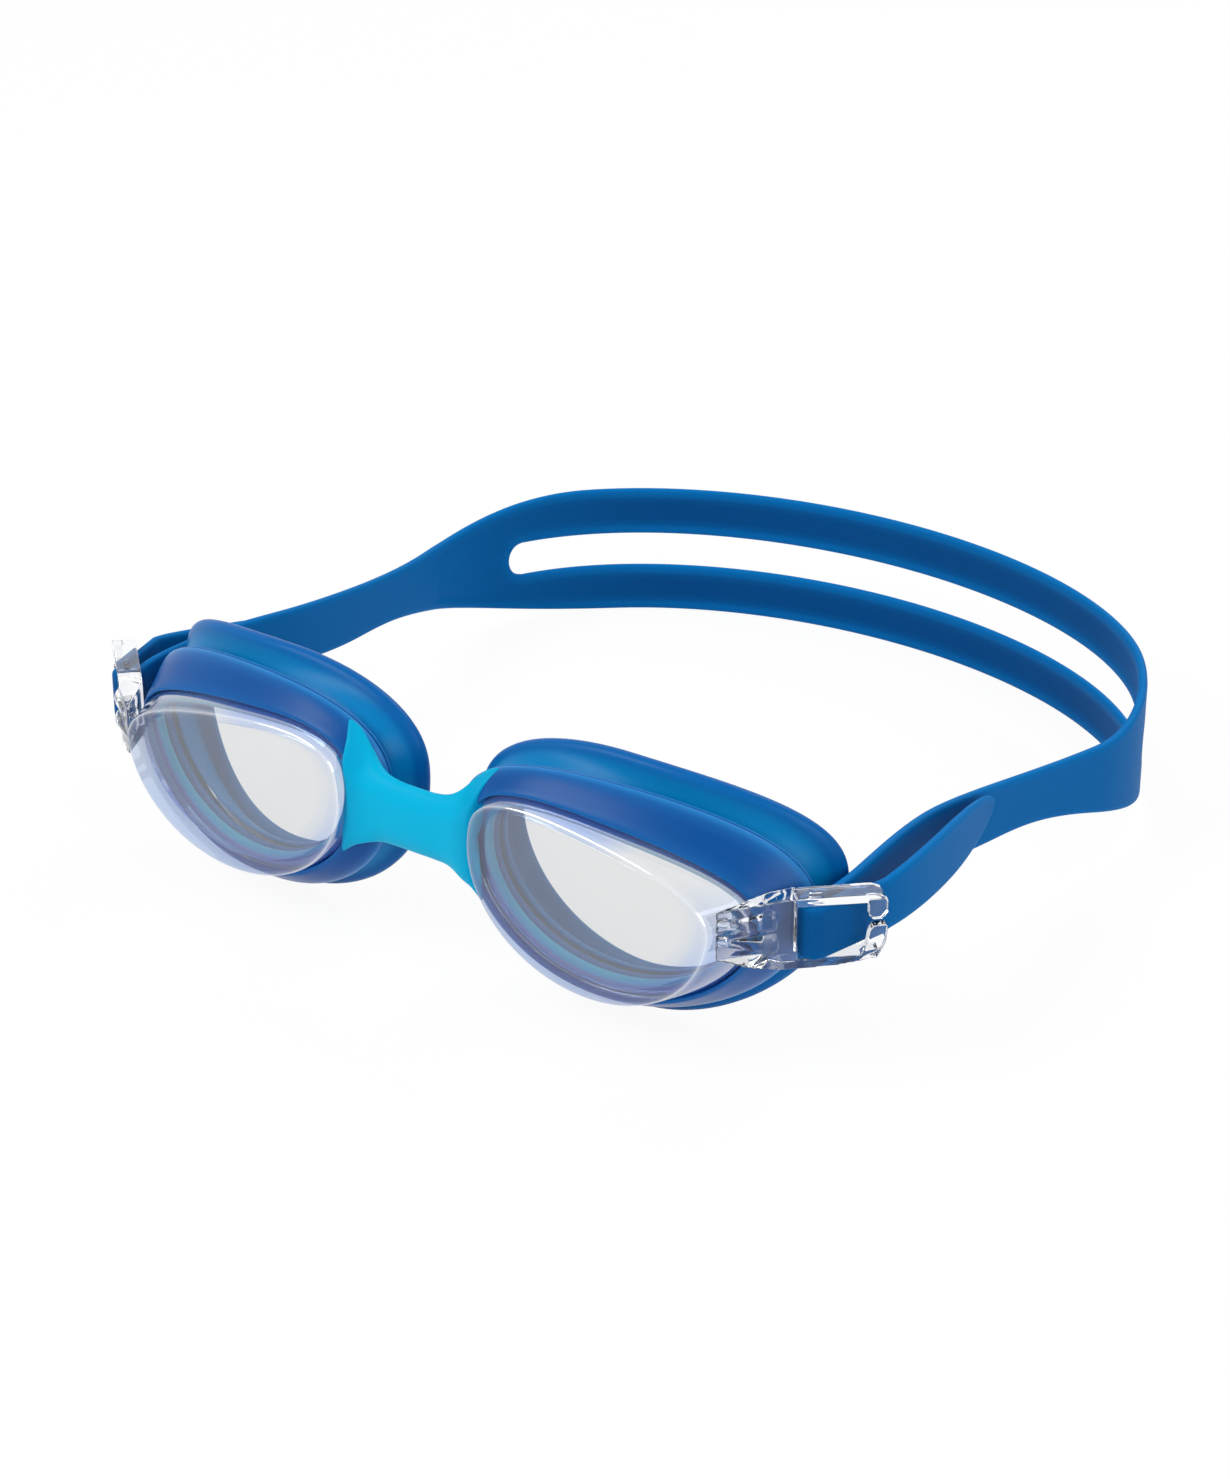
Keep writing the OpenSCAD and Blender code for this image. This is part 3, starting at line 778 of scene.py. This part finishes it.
slot_rim = np.vstack((slot_rim, np.column_stack((fork_s + ends, np.full_like(ends, SLOT_LOW))),
                      np.column_stack((fork_s + ends, np.full_like(ends, SLOT_HIGH)))))
rows_f = np.concatenate((np.linspace(0, 0.88, 18), 1 - EDGE_INSETS[::-1] / 25))
low_edge_of, high_edge_of = by_place(back, edge_low), by_place(back, edge_high)
web = np.linspace(-1, 1, 13)
h_rows, s_rows = [], []
for f in rows_f:
    s_line = f * fork_s
    low, high = low_edge_of(s_line), high_edge_of(s_line)
    web_low = (1 - f) * (low + WEB_START[0] * (high - low)) + f * SLOT_LOW
    web_high = (1 - f) * (low + WEB_START[1] * (high - low)) + f * SLOT_HIGH
    low_part, high_part = heights(low, web_low), heights(web_high, high)
    web_part = (web_low + web_high) / 2 + (web_high - web_low) / 2 * np.sin(web * math.pi / 2)
    h_rows.append(np.concatenate((low_part, web_part[1:-1], high_part)))
    reach = fork_s - round_end * np.cos(web * math.pi / 2)
    s_rows.append(np.concatenate((np.full(len(low_part), s_line), f * reach[1:-1],
                                  np.full(len(high_part), s_line))))
h, s = np.array(h_rows), np.array(s_rows)
rim_gap = np.sqrt(((s[..., None] - slot_rim[:, 0]) ** 2 + (h[..., None] - slot_rim[:, 1]) ** 2).min(axis=-1))
rim_gap[rim_gap < 0.03] = 0
d = np.minimum(np.minimum(h - h[:, :1], h[:, -1:] - h), rim_gap)
d = np.minimum(d, 1.5 + np.maximum(0, s - 1.0))
for side_name, side in SIDES.items():
    fork = piece("strap_fork_" + side_name, moulded("strap_fork", back, s, h, d, sunk=SUNK), blue, side, 1)
    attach(fork, "strap_back")
    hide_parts("strap_fork_" + side_name)

band_edges = {"band_upper": (lambda s: SLOT_HIGH, high_edge_of),
              "band_lower": (low_edge_of, lambda s: SLOT_LOW)}
for name, (low, high) in band_edges.items():
    s, h, d = band_grid(np.linspace(fork_s, back.length - fork_s, 70), low, high)
    strap_band = piece(name, moulded(name, back, s, h, d, sunk=SUNK), blue, 1, 1)
    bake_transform(strap_band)
    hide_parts(name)

# ---- Nose bridge ----
# A saddle of soft cyan silicone joins the two rims. At each end it spreads into a tab that lies on
# the front of the rim, from below the lens up over the ridge.
def saddle_curve(points, count):
    """Even points along a smooth curve through the given points."""
    points = np.array(points, float)
    spans = np.concatenate(([0], np.cumsum(np.linalg.norm(np.diff(points, axis=0), axis=1))))
    ends = np.vstack((2 * points[0] - points[1], points, 2 * points[-1] - points[-2]))
    made = []
    for s in np.linspace(0, spans[-1], count):
        i = min(len(points) - 2, int(np.searchsorted(spans, s, side="right")) - 1)
        t = (s - spans[i]) / (spans[i + 1] - spans[i])
        a, b, c, d = ends[i], ends[i + 1], ends[i + 2], ends[i + 3]
        made.append(0.5 * (2 * b + (c - a) * t + (2 * a - 5 * b + 4 * c - d) * t * t
                           + (3 * b - a - 3 * c + d) * t ** 3))
    return np.array(made)


ACROSS, UP = 15, 15
SADDLE_FRONT, SADDLE_BACK = 1.8, 6.4
cyan = silicone("bridge_silicone", (0.0, 0.36, 0.58), (0.0, 0.42, 0.65), (0.0, 0.26, 0.48), 0.42, 0.12,
                shine=0.08)
top_edge = saddle_curve(
    [(0, 31.8), (3.7, 31.9), (6.8, 32.6), (8.8, 34), (10.8, 36.2), (13, 38.2), (15.9, 39.3)], ACROSS)
low_edge = saddle_curve([(0, 20.2), (4, 20.2), (8, 20.0), (11, 19.0), (13, 17.6), (14.8, 16.2)], ACROSS)
lens_edge = saddle_curve(
    [(14.8, 16.2), (13.0, 20), (12.4, 25), (12.6, 30), (13.4, 34), (14.2, 37), (15.9, 39.3)], UP)
middle_edge = saddle_curve([(0, 20.2), (0, 26), (0, 31.8)], UP)


def saddle_depths(x, z):
    """Front and back depth of the saddle at a place: thick in the middle, thin on the rims."""
    across, up = x - RIDGE.centre[0], z - RIDGE.centre[1]
    angle, reach = math.atan2(up, across), math.hypot(across, up)
    low, high = float(LENS_BACK.reach(angle, 0.8)), float(RIDGE.reach(angle))
    slope = min(1.1, max(0.0, (reach - low) / (high - low)))
    rim_y = between(LENS_BACK.depth_at(x) - 1.0, RIDGE.depth_at(x), slope)
    seat = between(2.4, rim_y, max(ease(29, 34.5, z), ease(-19.5, -17, -z)))
    tab = ease(5.5, 11.5, x)
    return between(SADDLE_FRONT, seat - 1.1, tab), between(SADDLE_BACK, seat + 0.6, tab)


grid = {}
for i in range(ACROSS):
    u = i / (ACROSS - 1)
    for j in range(UP):
        v = j / (UP - 1)
        grid[i, j] = ((1 - v) * low_edge[i] + v * top_edge[i] + (1 - u) * middle_edge[j] + u * lens_edge[j]
                      - (1 - u) * (1 - v) * low_edge[0] - u * (1 - v) * low_edge[-1]
                      - (1 - u) * v * top_edge[0] - u * v * top_edge[-1])
rings, marks = [], []
for i in range(-(ACROSS - 1), ACROSS):
    column = [grid[abs(i), j] * (np.sign(i) if i else 1, 1) for j in range(UP)]
    front_side, back_side = [], []
    for j, (x, z) in enumerate(column):
        y0, y1 = saddle_depths(abs(x), z)
        bow = 1 - abs(2 * j / (UP - 1) - 1) ** 3
        centre, half = (y0 + y1) / 2, (y1 - y0) / 2 * (0.25 + 0.75 * bow)
        front_side.append((x, centre - half, z))
        back_side.append((x, centre + half, z))
    rings.append(np.array(front_side + back_side[::-1]))
    # The marks make the bridge darker towards the tab at each end. This is partly the navy rim showing
    # through the thin tab and partly painted shade where the tabs turn away from the light.
    marks.append(max(0.0, 1.5 * abs(i) / (ACROSS - 1) - 0.9))
bridge = piece("nose_bridge", skin("nose_bridge", rings, marks, closed=False), cyan, 1, 2)
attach(bridge, "bridge")
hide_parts("nose_bridge")
